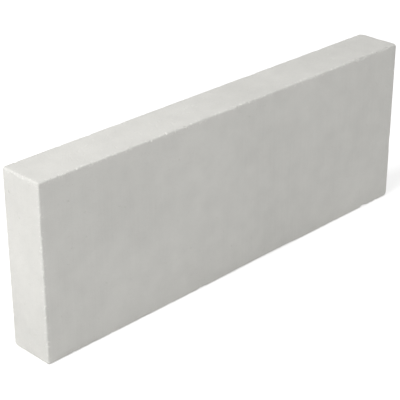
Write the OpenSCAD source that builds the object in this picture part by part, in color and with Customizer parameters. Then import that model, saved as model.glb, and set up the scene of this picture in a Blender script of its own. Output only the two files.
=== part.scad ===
// Aerated concrete block for a thin partition wall, sawn in one piece.
// It stands on its lower bed face. X runs along the wall, Y through it and Z up,
// and the origin is the middle of the lower bed face.

/* [Block] */
// Length along the wall
block_l = 600; // [300:5:650]
// Height of one course, from bed face to bed face
block_h = 220; // [100:5:300]
// Thickness through the wall
block_t = 60; // [50:5:400]

/* [Wear] */
// Radius to which handling has rubbed the twelve arrises
arris_r = 2; // [0.5:0.25:4]
// What the most worn corner has lost beyond its rubbed arrises, along its diagonal
corner_loss = 3; // [0.5:0.25:4]

/* [Hidden] */
$fn = 64;
// Pale warm grey of the dry, sawn surface
sawn_grey = [0.87, 0.865, 0.845];
// Reach of every profile and corner tool beyond the face that it shapes
overrun = 10;
// Distance from a sharp corner to where three rubbed arrises meet, as a share of their radius
arris_tip_share = sqrt(3) * (1 - sqrt(1 / 2));
// Radius of a worn corner's dome, as a share of all that the corner has lost
dome_share = 6;
// Wear of each corner as a share of corner_loss: near end then far end, in each the front
// face then the back face, and in each the lower corner then the upper one
corner_wear_shares = [
    [[0.2, 0.15], [0.5, 0.4]],
    [[0.6, 0.35], [0.4, 1]]
];

// A rectangle centred on the origin, with its corners rounded to the arris radius
module rubbed_profile(width, depth) {
    square([width, depth - 2 * arris_r], center = true);
    square([width - 2 * arris_r, depth], center = true);
    for (side = [-1, 1], end = [-1, 1])
        translate([side * (width / 2 - arris_r), end * (depth / 2 - arris_r)])
            circle(arris_r);
}

// Three rubbed profiles, each run through the block, leave a round arris on all twelve edges
module rubbed_cuboid() {
    intersection() {
        rotate([90, 0, 90])
            linear_extrude(block_l + 2 * overrun, center = true)
                rubbed_profile(block_t, block_h);
        rotate([90, 0, 0])
            linear_extrude(block_t + 2 * overrun, center = true)
                rubbed_profile(block_l, block_h);
        linear_extrude(block_h + 2 * overrun, center = true)
            rubbed_profile(block_l, block_t);
    }
}

// What a corner has lost: its tip outside a dome, for a corner at the origin and a block towards
// +X, +Y and +Z. The dome's poles are turned to lie clear of the corner.
module lost_tip(wear_share) {
    loss = arris_tip_share * arris_r + wear_share * corner_loss;
    dome_r = dome_share * loss;
    reach = (dome_r + loss) / sqrt(3);
    difference() {
        translate([-overrun, -overrun, -overrun]) cube(reach + loss + overrun);
        translate([reach, reach, reach]) rotate([90, 0, 45]) sphere(dome_r);
    }
}

module block() {
    color(sawn_grey)
        difference() {
            translate([0, 0, block_h / 2]) rubbed_cuboid();
            for (far = [0, 1], back = [0, 1], upper = [0, 1])
                translate([(far - 1 / 2) * block_l, (back - 1 / 2) * block_t, upper * block_h])
                    mirror([far, 0, 0]) mirror([0, back, 0]) mirror([0, 0, upper])
                        lost_tip(corner_wear_shares[far][back][upper]);
        }
}

block();
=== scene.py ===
import itertools
import math
import random

import bpy
import numpy as np
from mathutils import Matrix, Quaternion, Vector, noise


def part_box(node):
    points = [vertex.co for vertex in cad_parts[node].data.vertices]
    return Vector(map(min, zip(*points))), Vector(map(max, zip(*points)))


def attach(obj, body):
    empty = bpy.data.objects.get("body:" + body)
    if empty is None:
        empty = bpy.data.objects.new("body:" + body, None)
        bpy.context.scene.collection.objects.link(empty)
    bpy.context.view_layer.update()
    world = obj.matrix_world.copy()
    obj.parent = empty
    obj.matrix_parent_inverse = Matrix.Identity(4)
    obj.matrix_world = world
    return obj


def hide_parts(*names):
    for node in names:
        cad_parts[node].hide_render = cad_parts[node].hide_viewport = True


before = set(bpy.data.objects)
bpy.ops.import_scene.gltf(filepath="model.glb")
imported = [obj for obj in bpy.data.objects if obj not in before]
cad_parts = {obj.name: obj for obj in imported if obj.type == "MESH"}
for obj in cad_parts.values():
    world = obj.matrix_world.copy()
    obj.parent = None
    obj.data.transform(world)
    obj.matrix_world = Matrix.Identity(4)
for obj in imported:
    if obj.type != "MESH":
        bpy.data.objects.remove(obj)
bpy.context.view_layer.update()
blockLow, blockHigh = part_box("block")
blockSize = blockHigh - blockLow
blockMiddle = (blockLow + blockHigh) / 2
print("frame loaded, block measures", [round(side, 4) for side in blockSize])


def deselectAll():
    if bpy.context.object and bpy.context.object.mode != "OBJECT":
        bpy.ops.object.mode_set(mode="OBJECT")
    bpy.ops.object.select_all(action="DESELECT")


def selectOnly(piece):
    deselectAll()
    piece.select_set(True)
    bpy.context.view_layer.objects.active = piece


def aimAt(point, target):                      # turns a camera or lamp at point towards target
    return (Vector(target) - Vector(point)).to_track_quat("-Z", "Y").to_euler()


def unitAlong(axis):                           # axes 0, 1 and 2 are X, Y and Z
    return Vector([float(axis == side) for side in range(3)])


# camera at the photo's viewing angle, upright and with no shift
shot = {
    "azimuth": -45.17,                         # degrees, 0 looks along +Y
    "elevation": 26.25,
    "distance": 1.6,                           # metres from the middle of the picture
    "middle": (-0.0137, 0.0218, 0.0835),       # what stands in the middle of the picture
    "lens": 117.2,                             # mm, as the sensor
    "sensor": 36,
}


def setUpCamera():
    turn, lift = math.radians(shot["azimuth"]), math.radians(shot["elevation"])
    back = Vector((math.sin(turn) * math.cos(lift), -math.cos(turn) * math.cos(lift), math.sin(lift)))
    place = Vector(shot["middle"]) + back * shot["distance"]
    deselectAll()
    bpy.ops.object.camera_add(location=place, rotation=aimAt(place, shot["middle"]))
    camera = bpy.context.object
    camera.name = "camera"
    camera.data.lens = shot["lens"]
    camera.data.sensor_width = shot["sensor"]
    bpy.context.scene.camera = camera


setUpCamera()
print("camera set")


def emptyTree(owner):                          # the cleared node tree of a material or world
    owner.use_nodes = True
    owner.node_tree.nodes.clear()
    return owner.node_tree


# nodes are added by kind, with values or other nodes' outputs for their inputs
def addNode(tree, kind, inputs=None, **settings):
    node = tree.nodes.new("ShaderNode" + kind)
    for name, value in settings.items():
        setattr(node, name, value)
    for name, value in (inputs or {}).items():
        if isinstance(value, bpy.types.NodeSocket):
            tree.links.new(value, node.inputs[name])
        else:
            node.inputs[name].default_value = value
    return node


def addMath(tree, operation, first, second=0.0, third=0.0):
    return addNode(tree, "Math", {0: first, 1: second, 2: third}, operation=operation).outputs[0]


def seenDirectly(tree):                        # 1 for the camera and for reflections, 0 for light
    path = addNode(tree, "LightPath").outputs
    mirrored = addMath(tree, "MAXIMUM", path["Is Glossy Ray"], path["Is Transmission Ray"])
    return addMath(tree, "MAXIMUM", path["Is Camera Ray"], mirrored)


def grey(level):                               # opaque, alike in red, green and blue
    return (level, level, level, 1)


# plain white studio: a floor, a soft even surround, a high lamp at the near end and a weak fill
studio = {
    "floorSize": 12.0,
    "floorDrop": 0.0002,                       # keeps the floor clear of the block's lower bed
    "floorBounce": 0.8,
    "floorWhite": 0.9,
    "floorLift": (0.48, 0.75),                 # brings the floor to white for the camera, shadow kept
    "liftReach": (0.5, 1.6),                   # metres from the block's middle, where the lift grows
    "surround": 0.411,
    "backdrop": 1.0,                           # what the camera sees behind the floor, white
    "lamps": {
        "key_lamp": {"place": (-1.555, 0.080, 1.665), "size": 1.4, "watts": 30.0},
        "fill_lamp": {"place": (2.00, -1.60, 1.10), "size": 1.6, "watts": 9.6},
    },
}


def makeFloorMaterial():
    material = bpy.data.materials.new("floor_white")
    tree = emptyTree(material)
    bounce = addNode(tree, "BsdfDiffuse", {"Color": grey(studio["floorBounce"])})
    shown = addNode(tree, "BsdfDiffuse", {"Color": grey(studio["floorWhite"])})
    place = addNode(tree, "TexCoord").outputs["Object"]
    away = addNode(tree, "VectorMath", {0: place}, operation="LENGTH").outputs["Value"]
    near, far = studio["liftReach"]
    least, most = studio["floorLift"]
    grown = addNode(tree, "MapRange", {"Value": away, "From Min": near, "From Max": far,
                                       "To Min": least, "To Max": most}).outputs["Result"]
    lift = addNode(tree, "Emission", {"Strength": grown})
    white = addNode(tree, "AddShader", {0: shown.outputs[0], 1: lift.outputs[0]})
    mix = addNode(tree, "MixShader", {0: seenDirectly(tree), 1: bounce.outputs[0], 2: white.outputs[0]})
    addNode(tree, "OutputMaterial", {"Surface": mix.outputs[0]})
    return material


def buildStudio():
    deselectAll()
    floorPlace = (0, 0, blockLow.z - studio["floorDrop"])
    bpy.ops.mesh.primitive_plane_add(size=studio["floorSize"], location=floorPlace)
    floor = bpy.context.object
    floor.name = "floor"
    floor.data.materials.append(makeFloorMaterial())

    for name, lamp in studio["lamps"].items():
        deselectAll()
        turn = aimAt(lamp["place"], blockMiddle)
        bpy.ops.object.light_add(type="AREA", location=lamp["place"], rotation=turn)
        light = bpy.context.object
        light.name = name
        light.data.shape = "SQUARE"
        light.data.size = lamp["size"]
        light.data.energy = lamp["watts"]

    world = bpy.data.worlds.new("surround")
    bpy.context.scene.world = world
    tree = emptyTree(world)
    even = addNode(tree, "Background", {"Color": grey(1), "Strength": studio["surround"]})
    white = addNode(tree, "Background", {"Color": grey(1), "Strength": studio["backdrop"]})
    mix = addNode(tree, "MixShader", {0: seenDirectly(tree), 1: even.outputs[0], 2: white.outputs[0]})
    addNode(tree, "OutputWorld", {"Surface": mix.outputs[0]})
    bpy.context.scene.view_settings.view_transform = "Standard"


buildStudio()
print("studio built")


# the block is sawn to size and its arrises are rubbed round
blockShape = {
    "arrisRadius": 0.002,
    "arrisSteps": 6,
    "arrisProfile": 0.5,                       # 0.5 is round, less is flatter
    "cellSize": 0.010,                         # squares of the mesh on the flat faces
    "smoothBelow": 25,                         # degrees, sharper edges stay crisp
}


def sawBlock():
    deselectAll()
    bpy.ops.mesh.primitive_cube_add(size=1, location=blockMiddle, scale=blockSize)
    bpy.context.object.name = "aerated_block"
    bpy.ops.object.transform_apply(location=True, rotation=True, scale=True)
    bpy.ops.object.mode_set(mode="EDIT")
    bpy.ops.mesh.select_all(action="SELECT")
    bpy.ops.mesh.bevel(offset=blockShape["arrisRadius"], offset_type="OFFSET", affect="EDGES",
                       segments=blockShape["arrisSteps"], profile=blockShape["arrisProfile"])
    for axis in range(3):
        cuts = round(blockSize[axis] / blockShape["cellSize"])
        for cut in range(1, cuts):
            bpy.ops.mesh.select_all(action="SELECT")
            bpy.ops.mesh.bisect(plane_co=blockLow.lerp(blockHigh, cut / cuts), plane_no=unitAlong(axis))
    bpy.ops.object.mode_set(mode="OBJECT")
    return bpy.context.object


block = sawBlock()
print("block sawn,", len(block.data.polygons), "faces")


# tools that wear the block are modelled once, copied to many places and carved out of it together
def takeShape():                               # points and faces of the new primitive, which goes
    mesh = bpy.context.object.data
    points = np.array([vertex.co for vertex in mesh.vertices])
    faces = [tuple(face.vertices) for face in mesh.polygons]
    bpy.ops.object.delete()
    return points, faces


def joinCopies(name, shape, placings, unevenness=0.0, seed=0):
    points, faces = shape
    dice = np.random.default_rng(seed)
    allPoints, allFaces = [], []
    for number, (middle, axes) in enumerate(placings):
        swell = 1 + unevenness * dice.uniform(-1, 1, (len(points), 1))
        allPoints.append((points * swell) @ np.array(axes) + np.array(middle))
        start = number * len(points)
        allFaces.extend(tuple(start + corner for corner in face) for face in faces)
    mesh = bpy.data.meshes.new(name)
    mesh.from_pydata(np.concatenate(allPoints), [], allFaces)
    tools = bpy.data.objects.new(name, mesh)
    bpy.context.collection.objects.link(tools)
    return tools


def carve(tools):
    selectOnly(block)
    carving = block.modifiers.new("carving", "BOOLEAN")
    carving.operation = "DIFFERENCE"
    carving.solver = "MANIFOLD"
    carving.object = tools
    bpy.ops.object.modifier_apply(modifier=carving.name)
    bpy.data.meshes.remove(tools.data)         # takes the tools' object with it


def countTriangles():
    return sum(len(face.vertices) - 2 for face in block.data.polygons)


# corners worn off by small flats, the far back upper one most
cornerShape = {
    "tipLoss": 0.001,                          # at every corner, along its diagonal
    "wornLoss": 0.003,                         # at the most worn corner, beyond that
    "wearShares": {                            # by end, face and bed
        (-1, -1, -1): 0.2, (-1, -1, 1): 0.15, (-1, 1, -1): 0.5, (-1, 1, 1): 0.4,
        (1, -1, -1): 0.6, (1, -1, 1): 0.35, (1, 1, -1): 0.4, (1, 1, 1): 1.0,
    },
    "flats": 6,
    "lossSpread": (0.85, 1.05),                # of one flat, by its corner's loss
    "tilt": 0.20,
    "toolSize": 0.020,
    "seed": 11,
}


def wearCorners():
    dice = random.Random(cornerShape["seed"])
    size = cornerShape["toolSize"]
    deselectAll()
    bpy.ops.mesh.primitive_cube_add(size=2)
    cube = takeShape()
    for number in range(cornerShape["flats"]):
        placings = []
        for signs, share in cornerShape["wearShares"].items():
            outward = Vector(signs).normalized()
            loss = cornerShape["tipLoss"] + share * cornerShape["wornLoss"]
            corner = blockMiddle + Vector(signs) * blockSize / 2
            place = corner - outward * loss * dice.uniform(*cornerShape["lossSpread"])
            tilt = Vector([dice.uniform(-1, 1) for axis in range(3)]) * cornerShape["tilt"]
            normal = (outward + tilt).normalized()
            across = normal.orthogonal().normalized()
            axes = (across * size, normal.cross(across) * size, normal * size)
            placings.append((place + normal * size, axes))
        carve(joinCopies("corner_flats", cube, placings))
    print("corners worn,", countTriangles(), "triangles")


wearCorners()


# wear along the arrises: long shallow rubs, bites from handling, crumbs all along, and a few chips
nickShape = {
    "cornerClear": 0.007,
    "axisShares": (1.6, 1.6, 0.9),             # the level arrises are worn deeper than the upright ones
    "lean": 35,                                # degrees, most that a nick leans to one face of its arris
    "kinds": [                                 # length is half of what a nick takes of the arris
        {"name": "rubs", "gap": (0.004, 0.030), "length": (0.005, 0.014), "depth": (0.0002, 0.0006),
         "reach": (0.008, 0.014), "unevenness": 0.01, "facets": 4, "seed": 4},
        {"name": "bites", "gap": (0.006, 0.034), "length": (0.0012, 0.0036), "depth": (0.0003, 0.0008),
         "reach": (0.0024, 0.0050), "unevenness": 0.10, "facets": 2, "seed": 5},
        {"name": "crumbs", "gap": (0.0012, 0.0070), "length": (0.0006, 0.0020), "depth": (0.0002, 0.0006),
         "reach": (0.0012, 0.0028), "unevenness": 0.15, "facets": 1, "seed": 6},
    ],
    "chips": {
        "name": "chips", "unevenness": 0.03, "facets": 4, "seed": 7,
        "places": [                            # two near the far end of the front, and a worn stretch
            {"axis": 0, "signs": (-1, -1), "at": 0.250, "length": 0.008, "depth": 0.0020,
             "reach": 0.006, "lean": 0},
            {"axis": 0, "signs": (-1, 1), "at": 0.227, "length": 0.008, "depth": 0.0014,
             "reach": 0.006, "lean": 30},
            {"axis": 0, "signs": (-1, -1), "at": 0.045, "length": 0.085, "depth": 0.0013,
             "reach": 0.020, "lean": 0},
        ],
    },
}


def placeNick(axis, signs, at, length, depth, reach, lean):    # at runs along the arris from its middle
    along = unitAlong(axis)
    outward = Vector((*signs[:axis], 0, *signs[axis:]))
    heart = blockMiddle + outward * (blockSize / 2) - outward * blockShape["arrisRadius"]
    outward.normalize()
    outward.rotate(Quaternion(along, math.radians(lean)))
    run = length / math.sqrt(1 - (1 - depth / reach) ** 2)     # a tool this long takes that length
    middle = heart + along * at + outward * (blockShape["arrisRadius"] + reach - depth)
    return middle, (along * run, outward * reach, along.cross(outward) * reach)


def scatterNicks(kind):
    dice = random.Random(kind["seed"])
    placings = []
    for axis in range(3):
        stop = blockSize[axis] / 2 - nickShape["cornerClear"]
        for signs in itertools.product((-1, 1), repeat=2):
            travel = -stop
            while True:
                length = dice.uniform(*kind["length"])
                travel += dice.uniform(*kind["gap"]) + length
                if travel + length > stop:
                    break
                depth = dice.uniform(*kind["depth"]) * nickShape["axisShares"][axis]
                reach = dice.uniform(*kind["reach"])
                lean = dice.uniform(-nickShape["lean"], nickShape["lean"])
                placings.append(placeNick(axis, signs, travel, length, depth, reach, lean))
                travel += length
    return placings


def carveNicks(kind, placings):
    deselectAll()
    bpy.ops.mesh.primitive_ico_sphere_add(subdivisions=kind["facets"], radius=1)
    carve(joinCopies(kind["name"], takeShape(), placings, kind["unevenness"], kind["seed"]))
    print(len(placings), kind["name"], "cut along the arrises,", countTriangles(), "triangles")


def nickArrises():
    for kind in nickShape["kinds"]:
        carveNicks(kind, scatterNicks(kind))
    chips = nickShape["chips"]
    carveNicks(chips, [placeNick(**place) for place in chips["places"]])


nickArrises()


# open pores, where the saw has cut through the air cells of the concrete
poreShape = {
    "margin": 0.0042,                          # bare strip along the arrises
    "wall": 0.0003,                            # least concrete left between two pores
    "richness": 0.5,                           # chance that a place drawn gets a pore
    "patchSize": 0.08,                         # richer and poorer patches of the mix
    "patchSpread": 0.6,
    "widthSpread": (0.85, 1.0),                # across a pore, by its length
    "lift": 0.15,                              # how far a tool's widest ring lies outside, in depths
    "unevenness": 0.08,
    "seed": 23,
    "kinds": [                                 # depth by radius; bowls have rings, small pores are pointed
        {"name": "cavities", "count": 300, "radius": (0.0010, 0.0017), "depth": (0.30, 0.48),
         "sides": 11, "rings": 4},
        {"name": "large_pores", "count": 850, "radius": (0.0006, 0.0012), "depth": (0.40, 0.65),
         "sides": 9, "rings": 4},
        {"name": "small_pores", "count": 5600, "radius": (0.0003, 0.0006), "depth": (0.60, 0.90),
         "sides": 7, "rings": 0},
    ],
}


def touchesPore(taken, face, square, place, radius):
    around = itertools.product((-1, 0, 1), repeat=2)
    near = [taken.get((face, square[0] + right, square[1] + up), []) for right, up in around]
    return any((place - other).length < radius + size + poreShape["wall"]
               for other, size in itertools.chain(*near))


def turnPore(dice, kind, place, normal, radius):               # middle and axes of a pore's tool
    depth = radius * dice.uniform(*kind["depth"])
    turn = dice.uniform(0, math.tau)
    first = normal.orthogonal().normalized()
    across = first * math.cos(turn) + normal.cross(first) * math.sin(turn)
    width = dice.uniform(*poreShape["widthSpread"])
    axes = (across * radius, normal.cross(across) * radius * width, normal * depth)
    return place + normal * depth * poreShape["lift"], axes


def placePores():
    dice = random.Random(poreShape["seed"])
    faces = [(axis, sign) for axis in range(3) for sign in (-1, 1)]
    areas = [blockSize[axis - 1] * blockSize[axis - 2] for axis, sign in faces]
    widest = 2 * max(kind["radius"][1] for kind in poreShape["kinds"]) + poreShape["wall"]
    taken = {}                                 # pores already placed, by face and square
    placings = {}
    for kind in poreShape["kinds"]:
        placed = placings[kind["name"]] = []
        while len(placed) < kind["count"]:
            face = dice.choices(faces, areas)[0]
            axis, sign = face
            normal = unitAlong(axis) * sign
            radius = dice.uniform(*kind["radius"])
            place = blockMiddle + normal * blockSize[axis] / 2
            for side in (axis - 1, axis - 2):
                reach = blockSize[side] / 2 - poreShape["margin"] - radius
                place[side] += dice.uniform(-reach, reach)
            patch = noise.noise(place / poreShape["patchSize"])
            if dice.random() > poreShape["richness"] + poreShape["patchSpread"] * patch:
                continue
            square = [round(place[side] / widest) for side in (axis - 1, axis - 2)]
            if touchesPore(taken, face, square, place, radius):
                continue
            taken.setdefault((face, *square), []).append((place, radius))
            placed.append(turnPore(dice, kind, place, normal, radius))
    return placings


def modelPoreTool(kind):
    deselectAll()
    if kind["rings"]:
        bpy.ops.mesh.primitive_uv_sphere_add(segments=kind["sides"], ring_count=kind["rings"], radius=1)
    else:
        pointDepth = 1                         # the wide end lies at zero, the point below it
        bpy.ops.mesh.primitive_cone_add(vertices=kind["sides"], radius1=0, radius2=1, depth=pointDepth,
                                        location=(0, 0, -pointDepth / 2))
        bpy.ops.object.transform_apply(location=True)
    return takeShape()


def openPores():
    placings = placePores()
    for kind in poreShape["kinds"]:
        carve(joinCopies(kind["name"], modelPoreTool(kind), placings[kind["name"]],
                         poreShape["unevenness"], poreShape["seed"]))
        print(len(placings[kind["name"]]), kind["name"], "opened,", countTriangles(), "triangles")


openPores()
selectOnly(block)
bpy.ops.object.shade_smooth_by_angle(angle=math.radians(blockShape["smoothBelow"]))


# one flat island for each of the six sides, all at one scale, for a bake of the materials
bakeMap = {
    "name": "OFBake",
    "gap": 0.008,                              # metres between two islands
}


def unwrapBlock():
    length, thickness, height = blockSize
    gap = bakeMap["gap"]
    column = length + gap
    corners = {                                # by axis and sign: the two sides shown and the island's corner
        (1, -1): (0, 2, 0, 0),
        (1, 1): (0, 2, 0, height + gap),
        (2, -1): (0, 1, 0, 2 * (height + gap)),
        (2, 1): (0, 1, 0, 2 * (height + gap) + thickness + gap),
        (0, -1): (1, 2, column, 0),
        (0, 1): (1, 2, column, height + gap),
    }
    widest = column + thickness
    layer = block.data.uv_layers.new(name=bakeMap["name"])
    for face in block.data.polygons:
        offset = face.center - blockMiddle
        axis = min(range(3), key=lambda side: blockSize[side] / 2 - abs(offset[side]))
        across, up, left, low = corners[axis, 1 if offset[axis] > 0 else -1]
        for loop in face.loop_indices:
            point = block.data.vertices[block.data.loops[loop].vertex_index].co - blockLow
            layer.data[loop].uv = ((left + point[across]) / widest, (low + point[up]) / widest)


unwrapBlock()
print("block carved and unwrapped,", countTriangles(), "triangles")


# aerated concrete, dry and sawn: a pale warm grey with patches, clouds, grain, pinholes darkened with painted
# shade, faint saw drag, and chalky arrises with light flecks, which also paint a highlight along the arrises
concreteLook = {
    "colour": (0.787, 0.779, 0.743),
    "specular": 0.2,
    "roughness": (0.90, 1.0),
    "layers": {                                # noise, shifted or drawn out
        "patches": {"scale": 6.0, "detail": 3.0, "shift": (136.5, 58.5, 0.0), "stretch": (1.0, 1.0, 1.0),
                    "strength": 0.190},
        "clouds": {"scale": 42.0, "detail": 3.0, "shift": (0.0, 0.0, 0.0), "stretch": (1.0, 1.0, 1.0),
                   "strength": 0.130},
        "grain": {"scale": 800.0, "detail": 2.0, "shift": (0.0, 0.0, 0.0), "stretch": (1.0, 1.0, 1.0),
                  "strength": 0.030},
        "drag": {"scale": 1.0, "detail": 2.0, "shift": (0.0, 0.0, 0.0), "stretch": (300.0, 300.0, 12.0),
                 "strength": 0.050},
    },
    "dragFade": (0.40, 0.60),                  # the drag shows in the darker patches, up to these tones
    "pinholeShadeCore": 0.6,                        # share of a pinhole's radius that gets the darkest painted shade
    # pinholes, bumped in and darkened with painted shade
    "pinholes": [
        {"scale": 480.0, "radius": 0.34, "share": 0.45, "strength": 0.03},
        {"scale": 1050.0, "radius": 0.36, "share": 0.50, "strength": 0.025},
    ],
    # chalky wear on the arrises, and a painted highlight along them
    "chalkAndHighlight": {"width": 0.0030, "strength": 0.16},
    # light flecks along the arrises: bared concrete, and partly a painted highlight
    "flecksAndHighlight": {"scale": 330.0, "detail": 1.0, "fade": (0.33, 0.41), "width": 0.0065, "strength": 0.21},
    "mostTone": 1.18,                          # keeps the chalky arrises, the light flecks and their painted highlight short of pure white
    "bumpDepth": 0.00014,
}
noiseMiddle = 0.5                              # about what the noise is on average


def addNoise(tree, place, scale, detail):
    inputs = {"Vector": place, "Scale": scale, "Detail": detail}
    return addNode(tree, "TexNoise", inputs).outputs["Fac"]


def addLayer(tree, place, layer):
    inputs = {"Vector": place, "Location": layer["shift"], "Scale": layer["stretch"]}
    return addNoise(tree, addNode(tree, "Mapping", inputs).outputs[0], layer["scale"], layer["detail"])


def fadeDown(tree, value, start, end):         # 1 below start, 0 above end
    inputs = {"Value": value, "From Min": start, "From Max": end, "To Min": 1.0, "To Max": 0.0}
    return addNode(tree, "MapRange", inputs, interpolation_type="SMOOTHSTEP").outputs["Result"]


def addPinholes(tree, place, holes):           # 1 in the middle of a pinhole, 0 between pinholes
    cells = addNode(tree, "TexVoronoi", {"Vector": place, "Scale": holes["scale"]}).outputs
    core = holes["radius"] * concreteLook["pinholeShadeCore"]
    hole = fadeDown(tree, cells["Distance"], core, holes["radius"])
    lot = addNode(tree, "SeparateXYZ", {0: cells["Color"]}).outputs["X"]
    drawn = addMath(tree, "LESS_THAN", lot, holes["share"])
    return addMath(tree, "MULTIPLY", hole, drawn)


def addArrisFade(tree, place, width):          # 1 on the arrises, 0 past width from them
    middle = addNode(tree, "VectorMath", {0: place, 1: blockMiddle}, operation="SUBTRACT").outputs[0]
    folded = addNode(tree, "VectorMath", {0: middle}, operation="ABSOLUTE").outputs[0]
    inset = addNode(tree, "VectorMath", {0: blockSize / 2, 1: folded}, operation="SUBTRACT").outputs[0]
    side = addNode(tree, "SeparateXYZ", {0: inset}).outputs
    pairs = [addMath(tree, "ADD", side[first], side[second]) for first, second in ("XY", "YZ", "ZX")]
    nearest = addMath(tree, "MINIMUM", addMath(tree, "MINIMUM", pairs[0], pairs[1]), pairs[2])
    return fadeDown(tree, nearest, 0.0, width)


def addFlecksAndHighlight(tree, place, flecksAndHighlight):            # light spots near the arrises: bared concrete, and a painted highlight dotted along them
    spots = addNoise(tree, place, flecksAndHighlight["scale"], flecksAndHighlight["detail"])
    baredAndLit = fadeDown(tree, spots, *flecksAndHighlight["fade"])
    return addMath(tree, "MULTIPLY", addArrisFade(tree, place, flecksAndHighlight["width"]), baredAndLit)


def makeConcrete():
    look = concreteLook
    material = bpy.data.materials.new("aerated_concrete")
    tree = emptyTree(material)
    place = addNode(tree, "TexCoord").outputs["Object"]

    layers = {name: addLayer(tree, place, layer) for name, layer in look["layers"].items()}
    swings = {name: addMath(tree, "SUBTRACT", layer, noiseMiddle) for name, layer in layers.items()}
    darker = fadeDown(tree, layers["patches"], *look["dragFade"])
    swings["drag"] = addMath(tree, "MULTIPLY", swings["drag"], darker)
    tone = 1.0
    for name, swing in swings.items():
        tone = addMath(tree, "MULTIPLY_ADD", swing, look["layers"][name]["strength"], tone)
    relief = addMath(tree, "ADD", layers["grain"], layers["drag"])

    # each pinhole is bumped in, and its tone darkened with painted shade
    for holes in look["pinholes"]:
        hole = addPinholes(tree, place, holes)
        tone = addMath(tree, "MULTIPLY_ADD", hole, -holes["strength"], tone)
        relief = addMath(tree, "SUBTRACT", relief, hole)

    # lighter along the arrises: chalky wear, and a painted highlight where the rounded arrises catch the
    # light
    rubbedAndLitArris = addArrisFade(tree, place, look["chalkAndHighlight"]["width"])
    chalkAndHighlightMask = addMath(tree, "MULTIPLY", rubbedAndLitArris, layers["clouds"])
    tone = addMath(tree, "MULTIPLY_ADD", chalkAndHighlightMask, look["chalkAndHighlight"]["strength"], tone)
    # light flecks: bared concrete, and a painted highlight dotted along the arrises
    fleckedAndLit = addFlecksAndHighlight(tree, place, look["flecksAndHighlight"])
    tone = addMath(tree, "MULTIPLY_ADD", fleckedAndLit, look["flecksAndHighlight"]["strength"], tone)
    tone = addMath(tree, "MINIMUM", tone, look["mostTone"])

    colour = addNode(tree, "VectorMath", {0: look["colour"], "Scale": tone}, operation="SCALE").outputs[0]
    least, most = look["roughness"]
    rough = addNode(tree, "MapRange", {"Value": layers["grain"], "To Min": least, "To Max": most})
    bump = addNode(tree, "Bump", {"Height": relief, "Distance": look["bumpDepth"]}).outputs["Normal"]
    shader = addNode(tree, "BsdfPrincipled", {"Base Color": colour, "Roughness": rough.outputs["Result"],
                                              "Specular IOR Level": look["specular"], "Normal": bump})
    addNode(tree, "OutputMaterial", {"Surface": shader.outputs[0]})
    return material


block.data.materials.clear()                   # the carving leaves an empty slot
block.data.materials.append(makeConcrete())
print("concrete laid on")

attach(block, "root")
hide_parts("block")
